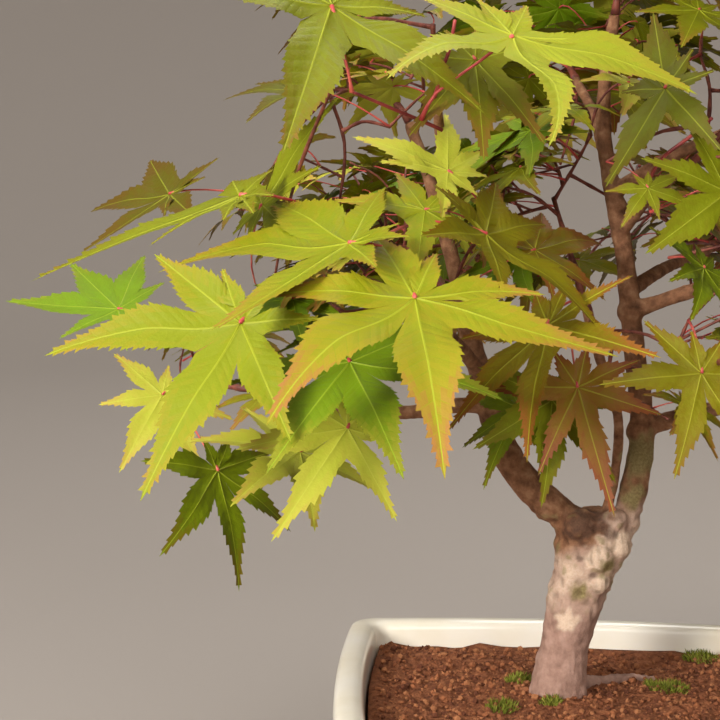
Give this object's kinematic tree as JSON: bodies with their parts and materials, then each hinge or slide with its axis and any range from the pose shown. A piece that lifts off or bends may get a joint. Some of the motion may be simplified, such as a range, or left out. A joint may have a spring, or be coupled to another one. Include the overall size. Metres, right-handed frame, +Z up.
{
  "type": "japanese maple bonsai in a glazed rectangular pot",
  "caption": "Small Japanese maple tree with a forked trunk and an open crown of palmate leaves, growing in a cream glazed rectangular pot.",
  "frame": {"origin": "middle of the pot's flat underside", "axes": "+X along the pot's length to the viewer's right, +Y away from the viewer, +Z up"},
  "size_m": [0.3514, 0.2707, 0.3236],
  "materials": {
    "glaze": "gloss",
    "soil": "matte",
    "trunk_bark": "matte",
    "bough_bark": "matte",
    "foliage": "satin",
    "young_twig": "satin",
    "moss": "matte"
  },
  "bodies": {
    "root": {"pot": "glaze", "soil": "soil", "trunk": "trunk_bark", "left_bough": "bough_bark", "left_side_bough": "bough_bark", "left_front_bough": "bough_bark", "left_back_bough": "bough_bark", "left_upper_bough": "bough_bark", "left_upper_front_bough": "bough_bark", "right_bough": "bough_bark", "middle_shoot": "bough_bark", "front_bough": "bough_bark", "front_upper_bough": "bough_bark", "right_low_bough": "bough_bark", "right_front_bough": "bough_bark", "right_upper_bough": "bough_bark", "back_bough": "bough_bark", "back_upper_bough": "bough_bark", "left_front_mass": "foliage", "left_upper_front_mass": "foliage", "left_low_mass": "foliage", "left_upper_mass": "foliage", "left_back_mass": "foliage", "front_mass": "foliage", "front_upper_mass": "foliage", "heart_mass": "foliage", "right_front_mass": "foliage", "right_low_mass": "foliage", "right_upper_mass": "foliage", "right_back_mass": "foliage", "back_upper_mass": "foliage", "top_mass": "foliage"}
  },
  "joints": []
}
